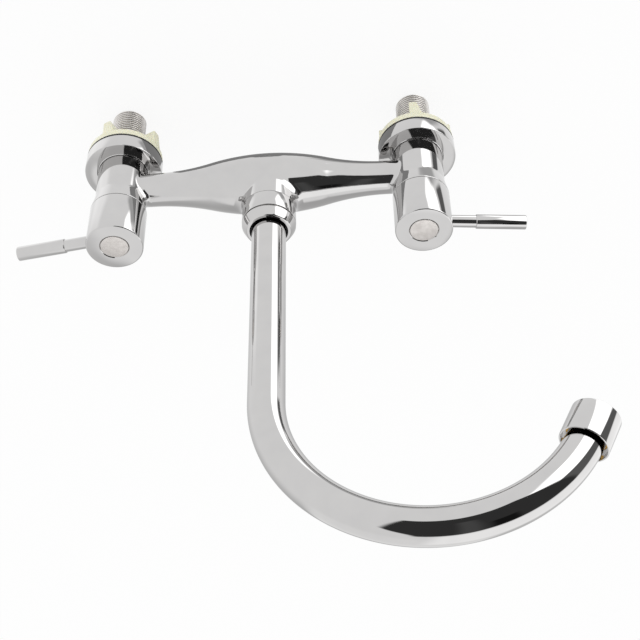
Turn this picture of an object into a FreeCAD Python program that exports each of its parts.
import FreeCAD, Part
import math
import os

# Deck mixer tap with two quarter-turn valves, a slim bridge body and a swinging swan-neck spout.
# Millimetres. X runs along the bridge from the hot valve to the cold valve, +Z is up, and the
# origin lies on the deck plane, under the flanges, midway between the two threaded tails.

# Driving sizes: layout
VALVE_CENTRE_DISTANCE = 180.0
HOT_LEVER_REST = 8.8
COLD_LEVER_REST = 5.5
QUARTER_TURN = 90.0
SPOUT_YAW = 2.5

# Driving sizes: deck flanges, washers, plastic backnuts and threaded tails
FLANGE_RADIUS = 23.4
FLANGE_HEIGHT = 9.5
FLANGE_TOP_ROUND = 0.5
FLANGE_FOOT_ROUND = 0.5
FLANGE_GROOVE_WIDTH = 0.7
FLANGE_GROOVE_DEPTH = 0.6
TAIL_THREAD_RADIUS = 10.4775
TAIL_BORE_RADIUS = 7.2
TAIL_BELOW_DECK = 41.0
TAIL_SCREWED_IN = 9.0
TAIL_END_ROOM = 0.5
TAIL_CHAMFER = 1.0
WASHER_THICKNESS = 1.2
WASHER_SET_BACK = 0.1
NUT_RADIUS = 22.9
NUT_THICKNESS = 5.3
NUT_ROUND = 0.8
NUT_LUG_COUNT = 4
NUT_LUG_HEIGHT = 11.0
NUT_LUG_INNER_RADIUS = 13.5
NUT_LUG_SET_BACK = 0.9
NUT_LUG_TIP_WIDTH = 4.8
NUT_LUG_FOOT_WIDTH = 8.0
HOT_NUT_ANGLE = 25.0
COLD_NUT_ANGLE = 92.5

# Driving sizes: bridge body
COLUMN_WAIST_DEPTH = 1.9
COLUMN_TAPER = 0.4
COLUMN_TOP_HEIGHT = 46.0
COLUMN_TOP_BAND = 0.4
SHOULDER_LENGTH = 10.4
COLUMN_RIM_ROUND = 0.2
SPIGOT_SHOULDER_WIDTH = 1.9
SPIGOT_LENGTH = 8.0
ARM_AXIS_HEIGHT = 26.0
ARM_END_RADIUS = 10.0
ARM_MIDDLE_RADIUS = 18.5
ARM_PLAIN_LENGTH = 4.7
ARM_FILLET = 3.5
ARM_WALL = 4.0
BOSS_RADIUS = 15.9
BOSS_TOP_HEIGHT = 50.0
BOSS_FILLET = 6.0
BOSS_THREAD_RADIUS = 14.0
BOSS_THREAD_LENGTH = 7.5
BOSS_BORE_DEPTH = 27.5
HUB_CHAMBER_RADIUS = 8.5
VALVE_SEAT_WEB = 3.0
VALVE_SEAT_HOLE_RADIUS = 5.8
VALVE_CHAMBER_RADIUS = 11.0
VALVE_CHAMBER_LENGTH = 19.0
NECK_SEAL_POCKET_DEPTH = 1.5
NECK_SEAL_POCKET_RADIUS = 12.2

# Driving sizes: ceramic cartridge
CARTRIDGE_BARREL_RADIUS = 9.2
CARTRIDGE_BARREL_WALL = 1.1
CARTRIDGE_THREAD_LENGTH = 11.0
CARTRIDGE_FLANGE_RADIUS = 13.2
CARTRIDGE_FLANGE_HEIGHT = 1.2
CARTRIDGE_HEX_ACROSS_FLATS = 21.0
CARTRIDGE_HEX_HEIGHT = 3.3
CARTRIDGE_NECK_RADIUS = 7.2
CARTRIDGE_NECK_HEIGHT = 5.0
CARTRIDGE_WINDOW_HEIGHT = 8.0
CARTRIDGE_WINDOW_WIDTH = 10.0
SEAT_SEAL_HEIGHT = 1.6
SEAT_SEAL_SQUEEZE = 0.6
SEAT_SEAL_WALL = 2.2
DISC_THICKNESS = 3.0
DISC_HOLE_OUTER_RADIUS = 6.6
DISC_HOLE_INNER_RADIUS = 2.4
DISC_HOLE_SPAN = 74.0
DISC_KEY_WIDTH = 3.0
DRIVER_WIDTH = 5.0
DRIVER_BITE = 1.3
DRIVER_HEIGHT = 4.3
DRIVER_HALF_LENGTH = 7.2
SPINDLE_RADIUS = 4.5
SPINDLE_SEAL_GROOVE_DEPTH = 1.2
SPINDLE_SEAL_PITCH = 5.0
STOP_RIB_REACH = 1.9
STOP_FLOAT = 1.0
CLIP_THICKNESS = 0.8
CLIP_RADIUS = 6.2
CLIP_GROOVE_DEPTH = 0.6
CLIP_MOUTH = 3.0
SPLINE_TEETH = 20
SPLINE_TIP_RADIUS = 4.0
SPLINE_ROOT_RADIUS = 3.65
SPLINE_LENGTH = 7.5

# Driving sizes: handle, lever, screw and index button
HANDLE_RADIUS = 16.8
HANDLE_WEB = 4.8
HANDLE_TOP_ROUND = 0.9
HANDLE_CAVITY_SIDE_ROOM = 0.8
HANDLE_GAP = 0.3
HANDLE_CAVITY_CLEARANCE = 0.6
BUTTON_RADIUS = 8.15
BUTTON_THICKNESS = 2.4
BUTTON_ROUND = 0.3
BUTTON_POCKET_CHAMFER = 0.55
SCREW_RADIUS = 2.0
SCREW_HEAD_RADIUS = 3.7
SCREW_HEAD_HEIGHT = 2.3
SCREW_HEAD_ROOM = 0.4
SCREW_REACH = 7.0
SCREW_END_ROOM = 1.0
SCREW_SOCKET_ACROSS_FLATS = 2.5
SCREW_SOCKET_DEPTH = 1.3
LEVER_BELOW_TOP = 8.4
LEVER_STUD_RADIUS = 2.5
LEVER_STUD_LENGTH = 8.0
LEVER_NECK_RADIUS = 3.65
LEVER_NECK_LENGTH = 13.8
LEVER_NECK_SEAT = 1.0
LEVER_GRIP_RADIUS = 4.25
LEVER_GRIP_LENGTH = 29.4
LEVER_ROUND = 0.5

# Driving sizes: spout, collar nut and swivel seals
TUBE_RADIUS = 10.0
TUBE_WALL = 1.2
SPOUT_STRAIGHT_LENGTH = 130.6
BEND_RADIUS = 84.2
BEND_ANGLE = 153.3
COLLAR_RADIUS = 15.9
COLLAR_CONE_HEIGHT = 5.2
COLLAR_CONE_SET_IN = 2.9
COLLAR_CROWN_ROUND = 0.9
COLLAR_GROOVE_WIDTH = 0.5
COLLAR_GROOVE_DEPTH = 0.25
COLLAR_HOLE_RADIUS = 11.3
COLLAR_TOP_WALL = 5.6
FERRULE_RADIUS = 12.0
FERRULE_BELOW_BOSS_TOP = 16.0
FERRULE_FLANGE_RADIUS = 13.4
FERRULE_FLANGE_HEIGHT = 2.5
FERRULE_SOCKET_DEPTH = 10.6
FERRULE_WATER_RADIUS = 7.5
FERRULE_GROOVE_DEPTH = 1.8
FERRULE_GROOVE_WIDTH = 2.2
FERRULE_GROOVE_PITCH = 5.5
SLIP_WASHER_THICKNESS = 0.6
SLIP_RING_HEIGHT = 1.9

# Driving sizes: aerator at the outlet
OUTLET_STRAIGHT = 7.0
AERATOR_RADIUS = 13.0
AERATOR_LENGTH = 19.5
AERATOR_LIP_BACK = 5.2
AERATOR_LIP_WALL = 0.8
AERATOR_THREAD_RADIUS = 11.0
AERATOR_FRONT_LIP = 1.1
AERATOR_OUTLET_RADIUS = 9.6
AERATOR_ROUND = 0.5
AERATOR_WASHER_THICKNESS = 1.6
AERATOR_WASHER_WALL = 2.4
SCREEN_THICKNESS = 0.3
INSERT_RIM_HEIGHT = 1.8
INSERT_CORE_RADIUS = 9.9
INSERT_CELL_RADIUS = 1.0
INSERT_CELL_PITCH = 2.6
INSERT_CELL_RINGS = 4

# Clearances, each a radial or face gap between two pieces
THREAD_CLEARANCE = 0.05
RUNNING_CLEARANCE = 0.05
SLIDING_CLEARANCE = 0.1
SLIP_CLEARANCE = 0.15
SEAM_CLEARANCE = 0.05
BRAZE_CLEARANCE = 0.03

# Levels worked out from the sizes above
VALVE_X = VALVE_CENTRE_DISTANCE / 2
COLUMN_NECK_RADIUS = HANDLE_RADIUS - COLUMN_WAIST_DEPTH
SHOULDER_TOP = COLUMN_TOP_HEIGHT - COLUMN_TOP_BAND
COLUMN_NECK_HEIGHT = SHOULDER_TOP - SHOULDER_LENGTH
COLUMN_FOOT_RADIUS = COLUMN_NECK_RADIUS + COLUMN_TAPER
SPIGOT_RADIUS = COLUMN_FOOT_RADIUS - SPIGOT_SHOULDER_WIDTH
ARM_SWELL_HALF_LENGTH = VALVE_X - COLUMN_FOOT_RADIUS - ARM_PLAIN_LENGTH
SPIGOT_FOOT = FLANGE_HEIGHT - SPIGOT_LENGTH
TAIL_TOP = SPIGOT_FOOT + TAIL_SCREWED_IN
TAIL_SOCKET_TOP = TAIL_TOP + TAIL_END_ROOM
SEAT_HEIGHT = TAIL_SOCKET_TOP + VALVE_SEAT_WEB
CHAMBER_TOP = SEAT_HEIGHT + VALVE_CHAMBER_LENGTH
NECK_POCKET_FLOOR = COLUMN_TOP_HEIGHT - NECK_SEAL_POCKET_DEPTH
FIXED_DISC_FOOT = SEAT_HEIGHT + SEAT_SEAL_HEIGHT
MOVING_DISC_FOOT = FIXED_DISC_FOOT + DISC_THICKNESS
MOVING_DISC_TOP = MOVING_DISC_FOOT + DISC_THICKNESS
DRIVER_FOOT = MOVING_DISC_TOP - DRIVER_BITE + SLIDING_CLEARANCE
DRIVER_TOP = DRIVER_FOOT + DRIVER_HEIGHT
CAVITY_RADIUS = CARTRIDGE_BARREL_RADIUS - CARTRIDGE_BARREL_WALL
DISC_RADIUS = CAVITY_RADIUS - SLIDING_CLEARANCE
HEX_FOOT = COLUMN_TOP_HEIGHT + CARTRIDGE_FLANGE_HEIGHT
HEX_TOP = HEX_FOOT + CARTRIDGE_HEX_HEIGHT
NECK_TOP = HEX_TOP + CARTRIDGE_NECK_HEIGHT
CLIP_FOOT = NECK_TOP + SLIDING_CLEARANCE
CLIP_TOP = CLIP_FOOT + CLIP_THICKNESS
SPLINE_FOOT = CLIP_TOP + HANDLE_CAVITY_CLEARANCE
SPLINE_TOP = SPLINE_FOOT + SPLINE_LENGTH
HANDLE_FOOT = COLUMN_TOP_HEIGHT + HANDLE_GAP
HANDLE_CAVITY_TOP = SPLINE_FOOT
HANDLE_CAVITY_RADIUS = CARTRIDGE_FLANGE_RADIUS + HANDLE_CAVITY_SIDE_ROOM
SCREW_SEAT = SPLINE_TOP + HANDLE_WEB
BUTTON_FOOT = SCREW_SEAT + SCREW_HEAD_HEIGHT + SCREW_HEAD_ROOM
HANDLE_TOP_HEIGHT = BUTTON_FOOT + BUTTON_THICKNESS
LEVER_HEIGHT = HANDLE_TOP_HEIGHT - LEVER_BELOW_TOP
LEVER_STUD_END = HANDLE_RADIUS - LEVER_NECK_SEAT - LEVER_STUD_LENGTH
LEVER_STEP = HANDLE_RADIUS + LEVER_NECK_LENGTH
LEVER_TIP = LEVER_STEP + LEVER_GRIP_LENGTH
BOSS_THREAD_TOP = BOSS_TOP_HEIGHT + BOSS_THREAD_LENGTH
BOSS_BORE_FLOOR = BOSS_THREAD_TOP - BOSS_BORE_DEPTH
BOSS_BORE_RADIUS = FERRULE_RADIUS + RUNNING_CLEARANCE
WATERWAY_RADIUS = ARM_END_RADIUS - ARM_WALL
HUB_CHAMBER_FLOOR = ARM_AXIS_HEIGHT - HUB_CHAMBER_RADIUS
FERRULE_FOOT = BOSS_TOP_HEIGHT - FERRULE_BELOW_BOSS_TOP
FERRULE_FLANGE_FOOT = BOSS_THREAD_TOP + SLIP_WASHER_THICKNESS
FERRULE_TOP = FERRULE_FLANGE_FOOT + FERRULE_FLANGE_HEIGHT
TUBE_FOOT = FERRULE_TOP - FERRULE_SOCKET_DEPTH
SLIP_RING_TOP = FERRULE_TOP + SLIP_RING_HEIGHT
COLLAR_CAVITY_TOP = SLIP_RING_TOP + SLIDING_CLEARANCE
COLLAR_TOP = COLLAR_CAVITY_TOP + COLLAR_TOP_WALL
COLLAR_CONE_FOOT = COLLAR_TOP - COLLAR_CONE_HEIGHT
BEND_START_HEIGHT = COLLAR_TOP + SPOUT_STRAIGHT_LENGTH
AERATOR_FRONT = AERATOR_LENGTH - AERATOR_LIP_BACK
WASHER_TOP = OUTLET_STRAIGHT + AERATOR_WASHER_THICKNESS
SCREEN_TOP = WASHER_TOP + SCREEN_THICKNESS
INSERT_FRONT = AERATOR_FRONT - AERATOR_FRONT_LIP

Z_AXIS = FreeCAD.Vector(0, 0, 1)
Y_AXIS = FreeCAD.Vector(0, 1, 0)
X_AXIS = FreeCAD.Vector(1, 0, 0)
ORIGIN = FreeCAD.Vector(0, 0, 0)


def rod(radius, low, high):
    return Part.makeCylinder(radius, high - low, FreeCAD.Vector(0, 0, low), Z_AXIS)


def tube(outer, inner, low, high):
    return rod(outer, low, high).cut(rod(inner, low, high))


def rod_along_x(radius, start, end, height):
    return Part.makeCylinder(radius, end - start, FreeCAD.Vector(start, 0, height), X_AXIS)


def block(x_size, y_size, low, high):
    corner = FreeCAD.Vector(-x_size / 2, -y_size / 2, low)
    return Part.makeBox(x_size, y_size, high - low, corner)


def prism(corners, low, high):
    points = [FreeCAD.Vector(x, y, low) for x, y in corners]
    face = Part.Face(Part.makePolygon(points + [points[0]]))
    return face.extrude(FreeCAD.Vector(0, 0, high - low))


def hexagon(across_flats, low, high):
    corner_radius = across_flats / math.sqrt(3)
    corners = []
    for index in range(6):
        angle = math.radians(60 * index)
        corners.append((corner_radius * math.cos(angle), corner_radius * math.sin(angle)))
    return prism(corners, low, high)


def turned(start, steps):
    # A profile in the XZ plane, turned about Z. A step is a corner (radius, height), or a
    # pair of a point on an arc and the arc's end.
    edges = []
    here = FreeCAD.Vector(start[0], 0, start[1])
    first = here
    for step in steps:
        if isinstance(step[0], tuple):
            middle = FreeCAD.Vector(step[0][0], 0, step[0][1])
            end = FreeCAD.Vector(step[1][0], 0, step[1][1])
            edges.append(Part.Arc(here, middle, end).toShape())
        else:
            end = FreeCAD.Vector(step[0], 0, step[1])
            edges.append(Part.makeLine(here, end))
        here = end
    edges.append(Part.makeLine(here, first))
    face = Part.Face(Part.Wire(edges))
    return face.revolve(ORIGIN, Z_AXIS, 360)


def round_corner(radius_of_side, height_of_face, round_radius, outward_up=1):
    # The two points that turn a side wall into a top face (or a foot face) through a round.
    centre_radius = radius_of_side - round_radius
    centre_height = height_of_face - outward_up * round_radius
    reach = round_radius * math.sqrt(0.5)
    middle = (centre_radius + reach, centre_height + outward_up * reach)
    return centre_radius, centre_height, middle


def sector(inner, outer, low, high, middle_angle, span):
    ring = Part.makeCylinder(outer, high - low, FreeCAD.Vector(0, 0, low), Z_AXIS, span)
    if inner > 0:
        ring = ring.cut(rod(inner, low, high))
    return spun(ring, middle_angle - span / 2)


def spun(shape, angle):
    moved = shape.copy()
    moved.rotate(ORIGIN, Z_AXIS, angle)
    return moved


def shifted(shape, x, y, z):
    moved = shape.copy()
    moved.translate(FreeCAD.Vector(x, y, z))
    return moved


def rounded(shape, radius, wanted):
    edges = [edge for edge in shape.Edges if wanted(edge)]
    return shape.makeFillet(radius, edges)


def save(shape, name):
    shape.exportStep(os.path.join("parts", name + ".step"))
    box = shape.BoundBox
    print("%-24s solids %d  valid %s  volume %.1f  z %.2f to %.2f" % (
        name, len(shape.Solids), shape.isValid(), shape.Volume, box.ZMin, box.ZMax))


# Bridge body: one casting with two valve columns, the swelling arms and the spout boss
def arm_profile_radius_of_curve():
    rise = ARM_MIDDLE_RADIUS - ARM_END_RADIUS
    return (ARM_SWELL_HALF_LENGTH ** 2 + rise ** 2) / (4 * rise)


def arm_radius_at(distance):
    # Two equal tangent arcs, the crown over the hub and the hollow that runs out to the column.
    curve = arm_profile_radius_of_curve()
    if distance <= ARM_SWELL_HALF_LENGTH / 2:
        return ARM_MIDDLE_RADIUS - curve + math.sqrt(curve ** 2 - distance ** 2)
    left = ARM_SWELL_HALF_LENGTH - distance
    return ARM_END_RADIUS + curve - math.sqrt(curve ** 2 - left ** 2)


def bridge_arms(inset):
    # The turned form of both arms, drawn in by the inset: none for the outside, the wall for
    # the casting's core.
    half = ARM_SWELL_HALF_LENGTH
    top = []
    for share in (-1.0, -0.75, -0.5, 0.0, 0.5, 0.75, 1.0):
        x = half * share
        top.append(FreeCAD.Vector(x, 0, arm_radius_at(abs(x)) - inset))
    left_end = FreeCAD.Vector(-VALVE_X, 0, ARM_END_RADIUS - inset)
    right_end = FreeCAD.Vector(VALVE_X, 0, ARM_END_RADIUS - inset)
    left_foot = FreeCAD.Vector(-VALVE_X, 0, 0)
    right_foot = FreeCAD.Vector(VALVE_X, 0, 0)
    edges = [
        Part.makeLine(left_foot, left_end),
        Part.makeLine(left_end, top[0]),
        Part.Arc(top[0], top[1], top[2]).toShape(),
        Part.Arc(top[2], top[3], top[4]).toShape(),
        Part.Arc(top[4], top[5], top[6]).toShape(),
        Part.makeLine(top[6], right_end),
        Part.makeLine(right_end, right_foot),
        Part.makeLine(right_foot, left_foot),
    ]
    face = Part.Face(Part.Wire(edges))
    return shifted(face.revolve(ORIGIN, X_AXIS, 360), 0, 0, ARM_AXIS_HEIGHT)


def column():
    flare = HANDLE_RADIUS - COLUMN_NECK_RADIUS
    curve = (SHOULDER_LENGTH ** 2 + flare ** 2) / (4 * flare)
    quarter = SHOULDER_LENGTH / 4
    sag = curve - math.sqrt(curve ** 2 - quarter ** 2)
    halfway = (COLUMN_NECK_RADIUS + flare / 2, COLUMN_NECK_HEIGHT + SHOULDER_LENGTH / 2)
    rim = round_corner(HANDLE_RADIUS, COLUMN_TOP_HEIGHT, COLUMN_RIM_ROUND)
    return turned((0, SPIGOT_FOOT), [
        (SPIGOT_RADIUS, SPIGOT_FOOT),
        (SPIGOT_RADIUS, FLANGE_HEIGHT),
        (COLUMN_FOOT_RADIUS, FLANGE_HEIGHT),
        (COLUMN_NECK_RADIUS, COLUMN_NECK_HEIGHT),
        ((COLUMN_NECK_RADIUS + sag, COLUMN_NECK_HEIGHT + quarter), halfway),
        ((HANDLE_RADIUS - sag, SHOULDER_TOP - quarter), (HANDLE_RADIUS, SHOULDER_TOP)),
        (HANDLE_RADIUS, rim[1]),
        (rim[2], (rim[0], COLUMN_TOP_HEIGHT)),
        (0, COLUMN_TOP_HEIGHT),
    ])


def arm_meets_column(edge):
    # The seam of an arm and its column, away from the spout boss.
    box = edge.BoundBox
    plain_run = VALVE_X - COLUMN_FOOT_RADIUS - ARM_PLAIN_LENGTH / 2
    near_column = plain_run < abs(box.Center.x) < VALVE_X
    return near_column and min(box.YLength, box.ZLength) > COLUMN_RIM_ROUND


def arm_meets_boss(edge):
    box = edge.BoundBox
    return box.XLength > BOSS_RADIUS and box.YLength > BOSS_RADIUS and box.ZLength > ARM_WALL


def valve_socket():
    cuts = rod(TAIL_THREAD_RADIUS + THREAD_CLEARANCE, SPIGOT_FOOT, TAIL_SOCKET_TOP)
    cuts = cuts.fuse(rod(VALVE_SEAT_HOLE_RADIUS, TAIL_SOCKET_TOP, SEAT_HEIGHT))
    cuts = cuts.fuse(rod(VALVE_CHAMBER_RADIUS, SEAT_HEIGHT, CHAMBER_TOP))
    cuts = cuts.fuse(rod(TAIL_THREAD_RADIUS + THREAD_CLEARANCE, CHAMBER_TOP, COLUMN_TOP_HEIGHT))
    return cuts.fuse(rod(NECK_SEAL_POCKET_RADIUS, NECK_POCKET_FLOOR, COLUMN_TOP_HEIGHT))


def bridge_body():
    solid = bridge_arms(0)
    for x in (-VALVE_X, VALVE_X):
        solid = solid.fuse(shifted(column(), x, 0, 0))
    solid = rounded(solid.removeSplitter(), ARM_FILLET, arm_meets_column)
    solid = solid.fuse(rod(BOSS_RADIUS, ARM_AXIS_HEIGHT, BOSS_TOP_HEIGHT)).removeSplitter()
    solid = rounded(solid, BOSS_FILLET, arm_meets_boss)
    solid = solid.fuse(rod(BOSS_THREAD_RADIUS, BOSS_TOP_HEIGHT, BOSS_THREAD_TOP))
    solid = solid.cut(rod(BOSS_BORE_RADIUS, BOSS_BORE_FLOOR, BOSS_THREAD_TOP))
    solid = solid.cut(rod(HUB_CHAMBER_RADIUS, HUB_CHAMBER_FLOOR, BOSS_BORE_FLOOR))
    solid = solid.cut(rod_along_x(WATERWAY_RADIUS, -VALVE_X, VALVE_X, ARM_AXIS_HEIGHT))
    solid = solid.cut(bridge_arms(ARM_WALL).cut(rod(BOSS_RADIUS, 0, BOSS_TOP_HEIGHT)))
    for x in (-VALVE_X, VALVE_X):
        solid = solid.cut(shifted(valve_socket(), x, 0, 0))
    return solid


# Deck fixings
def base_flange():
    top = round_corner(FLANGE_RADIUS, FLANGE_HEIGHT, FLANGE_TOP_ROUND)
    foot = round_corner(FLANGE_RADIUS, 0, FLANGE_FOOT_ROUND, -1)
    groove = COLUMN_FOOT_RADIUS + FLANGE_GROOVE_WIDTH
    bore = SPIGOT_RADIUS + SLIP_CLEARANCE
    return turned((bore, 0), [
        (foot[0], 0),
        (foot[2], (FLANGE_RADIUS, foot[1])),
        (FLANGE_RADIUS, top[1]),
        (top[2], (top[0], FLANGE_HEIGHT)),
        (groove, FLANGE_HEIGHT),
        (groove - FLANGE_GROOVE_WIDTH / 2, FLANGE_HEIGHT - FLANGE_GROOVE_DEPTH),
        (COLUMN_FOOT_RADIUS - FLANGE_GROOVE_WIDTH, FLANGE_HEIGHT),
        (bore, FLANGE_HEIGHT),
    ])


def threaded_tail():
    return turned((TAIL_BORE_RADIUS, -TAIL_BELOW_DECK), [
        (TAIL_THREAD_RADIUS - TAIL_CHAMFER, -TAIL_BELOW_DECK),
        (TAIL_THREAD_RADIUS, -TAIL_BELOW_DECK + TAIL_CHAMFER),
        (TAIL_THREAD_RADIUS, TAIL_TOP),
        (TAIL_BORE_RADIUS, TAIL_TOP),
    ])


def deck_washer():
    inner = TAIL_THREAD_RADIUS + SLIP_CLEARANCE
    return tube(FLANGE_RADIUS - WASHER_SET_BACK, inner, -WASHER_THICKNESS, 0)


def nut_lug():
    # A pressing lug for the fingers: one upright side and one side that ramps down to the disc.
    disc_foot = -WASHER_THICKNESS - NUT_THICKNESS
    tip = disc_foot - NUT_LUG_HEIGHT
    upright = NUT_LUG_TIP_WIDTH / 2
    root = disc_foot + NUT_ROUND
    inner = NUT_LUG_INNER_RADIUS
    corners = [
        FreeCAD.Vector(inner, upright, root),
        FreeCAD.Vector(inner, upright, tip),
        FreeCAD.Vector(inner, -upright, tip),
        FreeCAD.Vector(inner, upright - NUT_LUG_FOOT_WIDTH, root),
    ]
    face = Part.Face(Part.makePolygon(corners + [corners[0]]))
    lug = face.extrude(FreeCAD.Vector(NUT_RADIUS - inner, 0, 0))
    return lug.common(rod(NUT_RADIUS - NUT_LUG_SET_BACK, tip, root))


def backnut():
    disc_top = -WASHER_THICKNESS
    disc_foot = disc_top - NUT_THICKNESS
    upper = round_corner(NUT_RADIUS, disc_top, NUT_ROUND)
    lower = round_corner(NUT_RADIUS, disc_foot, NUT_ROUND, -1)
    bore = TAIL_THREAD_RADIUS + THREAD_CLEARANCE
    solid = turned((bore, disc_foot), [
        (lower[0], disc_foot),
        (lower[2], (NUT_RADIUS, lower[1])),
        (NUT_RADIUS, upper[1]),
        (upper[2], (upper[0], disc_top)),
        (bore, disc_top),
    ])
    for index in range(NUT_LUG_COUNT):
        solid = solid.fuse(spun(nut_lug(), index * 360 / NUT_LUG_COUNT))
    return solid.removeSplitter()


# Ceramic cartridge. The lever points along +X when the valve is shut, and turn is +1 where it
# opens anticlockwise and -1 where it opens clockwise, both seen from above.
def disc_holes(low, high, middle_angle):
    hole = sector(DISC_HOLE_INNER_RADIUS, DISC_HOLE_OUTER_RADIUS, low, high, middle_angle, DISC_HOLE_SPAN)
    return hole.fuse(spun(hole, 180))


def fixed_disc():
    solid = rod(DISC_RADIUS, FIXED_DISC_FOOT, MOVING_DISC_FOOT)
    key_reach = CARTRIDGE_BARREL_RADIUS - SLIDING_CLEARANCE
    keys = block(2 * key_reach, DISC_KEY_WIDTH, FIXED_DISC_FOOT, MOVING_DISC_FOOT)
    solid = solid.fuse(keys.common(rod(key_reach, FIXED_DISC_FOOT, MOVING_DISC_FOOT)))
    return solid.cut(disc_holes(FIXED_DISC_FOOT, MOVING_DISC_FOOT, QUARTER_TURN)).removeSplitter()


def moving_disc():
    solid = rod(DISC_RADIUS, MOVING_DISC_FOOT, MOVING_DISC_TOP)
    solid = solid.cut(disc_holes(MOVING_DISC_FOOT, MOVING_DISC_TOP, 0))
    slot_width = DRIVER_WIDTH + 2 * SLIDING_CLEARANCE
    slot = block(slot_width, 3 * DISC_RADIUS, MOVING_DISC_TOP - DRIVER_BITE, MOVING_DISC_TOP)
    return solid.cut(slot)


def seat_seal():
    return tube(DISC_RADIUS, DISC_RADIUS - SEAT_SEAL_WALL, SEAT_HEIGHT, FIXED_DISC_FOOT)


def stop_ribs(turn):
    # Two ribs inside the barrel that the driver bar meets at each end of its quarter turn.
    inner = CAVITY_RADIUS - STOP_RIB_REACH
    bar_half_angle = math.degrees(math.asin(DRIVER_WIDTH / 2 / inner))
    span = QUARTER_TURN - 2 * bar_half_angle - 2 * STOP_FLOAT
    middle = QUARTER_TURN - turn * QUARTER_TURN / 2
    rib = sector(inner, CAVITY_RADIUS + SLIDING_CLEARANCE, DRIVER_TOP - DRIVER_BITE, DRIVER_TOP, middle, span)
    return rib.fuse(spun(rib, 180))


def cartridge_body(turn):
    barrel_foot = SEAT_HEIGHT + SEAT_SEAL_SQUEEZE
    thread_foot = NECK_POCKET_FLOOR - CARTRIDGE_THREAD_LENGTH + NECK_SEAL_POCKET_DEPTH
    solid = rod(CARTRIDGE_BARREL_RADIUS, barrel_foot, COLUMN_TOP_HEIGHT)
    solid = solid.fuse(rod(TAIL_THREAD_RADIUS, thread_foot, COLUMN_TOP_HEIGHT))
    solid = solid.fuse(rod(CARTRIDGE_FLANGE_RADIUS, COLUMN_TOP_HEIGHT, HEX_FOOT))
    solid = solid.fuse(hexagon(CARTRIDGE_HEX_ACROSS_FLATS, HEX_FOOT, HEX_TOP))
    solid = solid.fuse(rod(CARTRIDGE_NECK_RADIUS, HEX_TOP, NECK_TOP))
    solid = solid.cut(rod(CAVITY_RADIUS, barrel_foot, CHAMBER_TOP))
    solid = solid.cut(rod(SPINDLE_RADIUS + RUNNING_CLEARANCE, CHAMBER_TOP, NECK_TOP))
    window_foot = CHAMBER_TOP - CARTRIDGE_WINDOW_HEIGHT
    window = block(3 * CARTRIDGE_BARREL_RADIUS, CARTRIDGE_WINDOW_WIDTH, window_foot, CHAMBER_TOP)
    key_slot_width = DISC_KEY_WIDTH + 2 * SLIDING_CLEARANCE
    key_slot = block(3 * CARTRIDGE_BARREL_RADIUS, key_slot_width, barrel_foot, MOVING_DISC_FOOT)
    return solid.cut(window).cut(key_slot).fuse(stop_ribs(turn))


def spindle():
    groove_radius = SPINDLE_RADIUS - SPINDLE_SEAL_GROOVE_DEPTH
    solid = rod(SPINDLE_RADIUS, DRIVER_TOP, SPLINE_FOOT)
    driver = block(DRIVER_WIDTH, 2 * DRIVER_HALF_LENGTH, DRIVER_FOOT, DRIVER_TOP)
    solid = solid.fuse(driver.common(rod(DRIVER_HALF_LENGTH, DRIVER_FOOT, DRIVER_TOP)))
    solid = solid.fuse(prism(spline_corners(0), SPLINE_FOOT, SPLINE_TOP))
    for low, high in spindle_groove_levels():
        solid = solid.cut(tube(2 * SPINDLE_RADIUS, groove_radius, low, high))
    solid = solid.cut(tube(2 * SPINDLE_RADIUS, SPINDLE_RADIUS - CLIP_GROOVE_DEPTH, CLIP_FOOT, CLIP_TOP))
    hole = rod(SCREW_RADIUS + THREAD_CLEARANCE, SPLINE_TOP - SCREW_REACH - SCREW_END_ROOM, SPLINE_TOP)
    return solid.cut(hole)


def spindle_groove_levels():
    width = 2 * SPINDLE_SEAL_GROOVE_DEPTH
    middle = (CHAMBER_TOP + COLUMN_TOP_HEIGHT) / 2
    levels = []
    for share in (-0.5, 0.5):
        low = middle + share * SPINDLE_SEAL_PITCH - width / 2
        levels.append((low, low + width))
    return levels


def spline_corners(growth):
    corners = []
    for index in range(2 * SPLINE_TEETH):
        radius = SPLINE_TIP_RADIUS if index % 2 == 0 else SPLINE_ROOT_RADIUS
        angle = math.pi * index / SPLINE_TEETH
        corners.append(((radius + growth) * math.cos(angle), (radius + growth) * math.sin(angle)))
    return corners


def o_ring(inner, outer, low, high):
    # A squeezed ring: its section is a short bar with round inner and outer sides.
    section = min(outer - inner, high - low) / 2
    middle = (low + high) / 2
    ring_radius = (inner + outer) / 2
    return Part.makeTorus(ring_radius, section, FreeCAD.Vector(0, 0, middle), Z_AXIS)


def spindle_o_rings():
    rings = []
    for low, high in spindle_groove_levels():
        inner = SPINDLE_RADIUS - SPINDLE_SEAL_GROOVE_DEPTH
        rings.append(o_ring(inner, SPINDLE_RADIUS, low, high))
    return Part.makeCompound(rings)


def neck_o_ring():
    return o_ring(TAIL_THREAD_RADIUS, NECK_SEAL_POCKET_RADIUS, NECK_POCKET_FLOOR, COLUMN_TOP_HEIGHT)


def retaining_clip():
    inner = SPINDLE_RADIUS - CLIP_GROOVE_DEPTH + SLIDING_CLEARANCE / 2
    ring = tube(CLIP_RADIUS, inner, CLIP_FOOT, CLIP_TOP)
    mouth = Part.makeBox(2 * CLIP_RADIUS, CLIP_MOUTH, CLIP_THICKNESS,
                         FreeCAD.Vector(-2 * CLIP_RADIUS, -CLIP_MOUTH / 2, CLIP_FOOT))
    return ring.cut(mouth)


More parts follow.
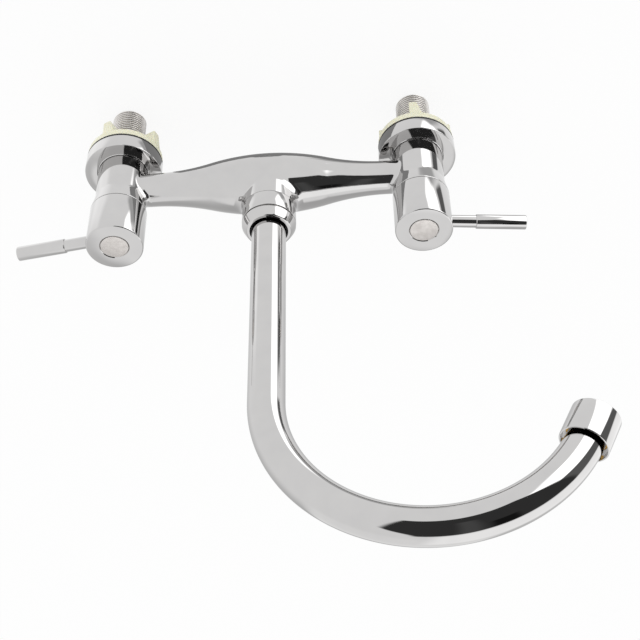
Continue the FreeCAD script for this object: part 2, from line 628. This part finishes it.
# Handle, lever, screw and index button
def handle_cap():
    top = round_corner(HANDLE_RADIUS, HANDLE_TOP_HEIGHT, HANDLE_TOP_ROUND)
    foot = round_corner(HANDLE_RADIUS, HANDLE_FOOT, COLUMN_RIM_ROUND, -1)
    pocket = BUTTON_RADIUS + SLIP_CLEARANCE
    solid = turned((0, HANDLE_FOOT), [
        (foot[0], HANDLE_FOOT),
        (foot[2], (HANDLE_RADIUS, foot[1])),
        (HANDLE_RADIUS, top[1]),
        (top[2], (top[0], HANDLE_TOP_HEIGHT)),
        (pocket + BUTTON_POCKET_CHAMFER, HANDLE_TOP_HEIGHT),
        (pocket, HANDLE_TOP_HEIGHT - BUTTON_POCKET_CHAMFER),
        (pocket, BUTTON_FOOT),
        (0, BUTTON_FOOT),
    ])
    solid = solid.cut(rod(HANDLE_CAVITY_RADIUS, HANDLE_FOOT, HANDLE_CAVITY_TOP))
    socket = prism(spline_corners(SLIDING_CLEARANCE), HANDLE_CAVITY_TOP, SPLINE_TOP + SLIP_CLEARANCE)
    solid = solid.cut(socket)
    solid = solid.cut(rod(SCREW_RADIUS + SLIP_CLEARANCE, SPLINE_TOP, SCREW_SEAT))
    solid = solid.cut(rod(SCREW_HEAD_RADIUS + SLIP_CLEARANCE, SCREW_SEAT, BUTTON_FOOT))
    stud_hole = rod_along_x(LEVER_STUD_RADIUS + THREAD_CLEARANCE, LEVER_STUD_END, HANDLE_RADIUS, LEVER_HEIGHT)
    seat_start = HANDLE_RADIUS - LEVER_NECK_SEAT
    seat = rod_along_x(LEVER_NECK_RADIUS + SLIDING_CLEARANCE, seat_start, 2 * HANDLE_RADIUS, LEVER_HEIGHT)
    return solid.cut(stud_hole).cut(seat)


def lever():
    # Turned about Z first, then laid along X at the lever's height.
    seat_start = HANDLE_RADIUS - LEVER_NECK_SEAT
    tip = round_corner(LEVER_GRIP_RADIUS, LEVER_TIP, LEVER_ROUND)
    heel = round_corner(LEVER_GRIP_RADIUS, LEVER_STEP, LEVER_ROUND, -1)
    solid = turned((0, LEVER_STUD_END + SLIP_CLEARANCE), [
        (LEVER_STUD_RADIUS, LEVER_STUD_END + SLIP_CLEARANCE),
        (LEVER_STUD_RADIUS, seat_start),
        (LEVER_NECK_RADIUS, seat_start),
        (LEVER_NECK_RADIUS, LEVER_STEP),
        (heel[0], LEVER_STEP),
        (heel[2], (LEVER_GRIP_RADIUS, heel[1])),
        (LEVER_GRIP_RADIUS, tip[1]),
        (tip[2], (tip[0], LEVER_TIP)),
        (0, LEVER_TIP),
    ])
    solid.rotate(ORIGIN, Y_AXIS, 90)
    return shifted(solid, 0, 0, LEVER_HEIGHT)


def handle_screw():
    head_top = SCREW_SEAT + SCREW_HEAD_HEIGHT
    solid = rod(SCREW_RADIUS, SPLINE_TOP - SCREW_REACH, SCREW_SEAT)
    solid = solid.fuse(rod(SCREW_HEAD_RADIUS, SCREW_SEAT, head_top))
    return solid.cut(hexagon(SCREW_SOCKET_ACROSS_FLATS, head_top - SCREW_SOCKET_DEPTH, head_top))


def index_button():
    top = round_corner(BUTTON_RADIUS, HANDLE_TOP_HEIGHT, BUTTON_ROUND)
    return turned((0, BUTTON_FOOT), [
        (BUTTON_RADIUS, BUTTON_FOOT),
        (BUTTON_RADIUS, top[1]),
        (top[2], (top[0], HANDLE_TOP_HEIGHT)),
        (0, HANDLE_TOP_HEIGHT),
    ])


# Spout swivel at the boss
def collar_nut():
    # A straight skirt like the boss, a fine groove, then a cone with a rounded crown.
    foot = COLUMN_RIM_ROUND
    low = BOSS_TOP_HEIGHT + SEAM_CLEARANCE
    inner = BOSS_THREAD_RADIUS + THREAD_CLEARANCE
    groove_foot = COLLAR_CONE_FOOT - COLLAR_GROOVE_WIDTH
    groove_middle = COLLAR_CONE_FOOT - COLLAR_GROOVE_WIDTH / 2
    crest = COLLAR_RADIUS - COLLAR_CONE_SET_IN
    lean = math.atan2(COLLAR_CONE_SET_IN, COLLAR_CONE_HEIGHT)
    run = COLLAR_CROWN_ROUND * math.tan(math.pi / 4 - lean / 2)
    centre = (crest - run, COLLAR_TOP - COLLAR_CROWN_ROUND)
    middle = math.pi / 4 + lean / 2
    crown = (centre[0] + COLLAR_CROWN_ROUND * math.cos(middle),
             centre[1] + COLLAR_CROWN_ROUND * math.sin(middle))
    return turned((inner, low), [
        (COLLAR_RADIUS - foot, low),
        (COLLAR_RADIUS, low + foot),
        (COLLAR_RADIUS, groove_foot),
        (COLLAR_RADIUS - COLLAR_GROOVE_DEPTH, groove_middle),
        (COLLAR_RADIUS, COLLAR_CONE_FOOT),
        (crest + run * math.sin(lean), COLLAR_TOP - run * math.cos(lean)),
        (crown, (crest - run, COLLAR_TOP)),
        (COLLAR_HOLE_RADIUS, COLLAR_TOP),
        (COLLAR_HOLE_RADIUS, COLLAR_CAVITY_TOP),
        (inner, COLLAR_CAVITY_TOP),
    ])


def ferrule_groove_levels():
    middle = (FERRULE_FOOT + TUBE_FOOT) / 2
    levels = []
    for share in (-0.5, 0.5):
        low = middle + share * FERRULE_GROOVE_PITCH - FERRULE_GROOVE_WIDTH / 2
        levels.append((low, low + FERRULE_GROOVE_WIDTH))
    return levels


def spout_ferrule():
    solid = rod(FERRULE_RADIUS, FERRULE_FOOT, FERRULE_TOP)
    solid = solid.fuse(rod(FERRULE_FLANGE_RADIUS, FERRULE_FLANGE_FOOT, FERRULE_TOP))
    solid = solid.cut(rod(TUBE_RADIUS + BRAZE_CLEARANCE, TUBE_FOOT, FERRULE_TOP))
    solid = solid.cut(rod(FERRULE_WATER_RADIUS, FERRULE_FOOT, TUBE_FOOT))
    for low, high in ferrule_groove_levels():
        solid = solid.cut(tube(2 * FERRULE_RADIUS, FERRULE_RADIUS - FERRULE_GROOVE_DEPTH, low, high))
    return solid


def spout_o_rings():
    rings = []
    for low, high in ferrule_groove_levels():
        rings.append(o_ring(FERRULE_RADIUS - FERRULE_GROOVE_DEPTH, FERRULE_RADIUS, low, high))
    return Part.makeCompound(rings)


def slip_washer():
    inner = FERRULE_RADIUS + SLIP_CLEARANCE
    return tube(BOSS_THREAD_RADIUS - SLIP_CLEARANCE, inner, BOSS_THREAD_TOP, FERRULE_FLANGE_FOOT)


def slip_ring():
    inner = TUBE_RADIUS + RUNNING_CLEARANCE
    return tube(BOSS_THREAD_RADIUS - SLIP_CLEARANCE, inner, FERRULE_TOP, SLIP_RING_TOP)


# Spout tube and outlet. The tube is bent in the XZ plane, towards +X, before it is swung.
def at_outlet(shape):
    # From a frame with its origin at the end of the bend and Z along the water's way.
    angle = math.radians(BEND_ANGLE)
    moved = shape.copy()
    moved.rotate(ORIGIN, Y_AXIS, BEND_ANGLE)
    across = BEND_RADIUS * (1 - math.cos(angle))
    up = BEND_START_HEIGHT + BEND_RADIUS * math.sin(angle)
    return shifted(moved, across, 0, up)


def spout_tube():
    bore = TUBE_RADIUS - TUBE_WALL
    straight = tube(TUBE_RADIUS, bore, TUBE_FOOT, BEND_START_HEIGHT)
    centre = FreeCAD.Vector(0, 0, BEND_START_HEIGHT)
    outer_disc = Part.Face(Part.Wire(Part.makeCircle(TUBE_RADIUS, centre, Z_AXIS)))
    inner_disc = Part.Face(Part.Wire(Part.makeCircle(bore, centre, Z_AXIS)))
    pivot = FreeCAD.Vector(BEND_RADIUS, 0, BEND_START_HEIGHT)
    bend = outer_disc.cut(inner_disc).revolve(pivot, Y_AXIS, BEND_ANGLE)
    end = at_outlet(tube(TUBE_RADIUS, bore, 0, OUTLET_STRAIGHT))
    return straight.fuse(bend).fuse(end).removeSplitter()


def outlet_ferrule():
    inner = TUBE_RADIUS + BRAZE_CLEARANCE
    return at_outlet(tube(AERATOR_THREAD_RADIUS, inner, SLIP_CLEARANCE, OUTLET_STRAIGHT))


def aerator_housing():
    back = -AERATOR_LIP_BACK
    back_corner = round_corner(AERATOR_RADIUS, back, AERATOR_ROUND, -1)
    front_corner = round_corner(AERATOR_RADIUS, AERATOR_FRONT, AERATOR_ROUND)
    lip_radius = AERATOR_RADIUS - AERATOR_LIP_WALL
    thread = AERATOR_THREAD_RADIUS + THREAD_CLEARANCE
    return at_outlet(turned((lip_radius, back), [
        (back_corner[0], back),
        (back_corner[2], (AERATOR_RADIUS, back_corner[1])),
        (AERATOR_RADIUS, front_corner[1]),
        (front_corner[2], (front_corner[0], AERATOR_FRONT)),
        (AERATOR_OUTLET_RADIUS, AERATOR_FRONT),
        (AERATOR_OUTLET_RADIUS, INSERT_FRONT),
        (thread, INSERT_FRONT),
        (thread, 0),
        (lip_radius, 0),
    ]))


def aerator_washer():
    inner = AERATOR_THREAD_RADIUS - AERATOR_WASHER_WALL
    return at_outlet(tube(AERATOR_THREAD_RADIUS - SLIDING_CLEARANCE, inner, OUTLET_STRAIGHT, WASHER_TOP))


def aerator_screen():
    return at_outlet(rod(AERATOR_THREAD_RADIUS - SLIDING_CLEARANCE, WASHER_TOP, SCREEN_TOP))


def aerator_insert():
    solid = rod(AERATOR_THREAD_RADIUS - SLIDING_CLEARANCE, SCREEN_TOP, SCREEN_TOP + INSERT_RIM_HEIGHT)
    solid = solid.fuse(rod(INSERT_CORE_RADIUS, SCREEN_TOP, INSERT_FRONT))
    cell = rod(INSERT_CELL_RADIUS, SCREEN_TOP, INSERT_FRONT)
    cells = [cell]
    for ring in range(1, INSERT_CELL_RINGS):
        for index in range(6 * ring):
            cells.append(spun(shifted(cell, ring * INSERT_CELL_PITCH, 0, 0), index * 60 / ring))
    return at_outlet(solid.cut(Part.makeCompound(cells)))


def build_valve(side, x, facing, turn, rest, nut_angle):
    fixed = {
        "base_flange": base_flange(),
        "threaded_tail": threaded_tail(),
        "deck_washer": deck_washer(),
        "backnut": spun(backnut(), nut_angle - facing),
        "cartridge_body": cartridge_body(turn),
        "fixed_disc": fixed_disc(),
        "seat_seal": seat_seal(),
        "neck_o_ring": neck_o_ring(),
    }
    moving = {
        "spindle": spindle(),
        "moving_disc": moving_disc(),
        "spindle_o_rings": spindle_o_rings(),
        "retaining_clip": retaining_clip(),
        "handle_cap": handle_cap(),
        "lever": lever(),
        "handle_screw": handle_screw(),
        "index_button": index_button(),
    }
    for name, shape in fixed.items():
        save(shifted(spun(shape, facing), x, 0, 0), side + "_" + name)
    for name, shape in moving.items():
        save(shifted(spun(shape, facing + turn * rest), x, 0, 0), side + "_" + name)


def build_spout():
    pieces = {
        "spout_tube": spout_tube(),
        "spout_ferrule": spout_ferrule(),
        "spout_o_rings": spout_o_rings(),
        "outlet_ferrule": outlet_ferrule(),
        "aerator_housing": aerator_housing(),
        "aerator_washer": aerator_washer(),
        "aerator_screen": aerator_screen(),
        "aerator_insert": aerator_insert(),
    }
    for name, shape in pieces.items():
        save(spun(shape, SPOUT_YAW), name)


os.makedirs("parts", exist_ok=True)
save(bridge_body(), "bridge_body")
build_valve("hot", -VALVE_X, 180, 1, HOT_LEVER_REST, HOT_NUT_ANGLE)
build_valve("cold", VALVE_X, 0, -1, COLD_LEVER_REST, COLD_NUT_ANGLE)
save(collar_nut(), "spout_collar_nut")
save(slip_washer(), "spout_slip_washer")
save(slip_ring(), "spout_slip_ring")
build_spout()
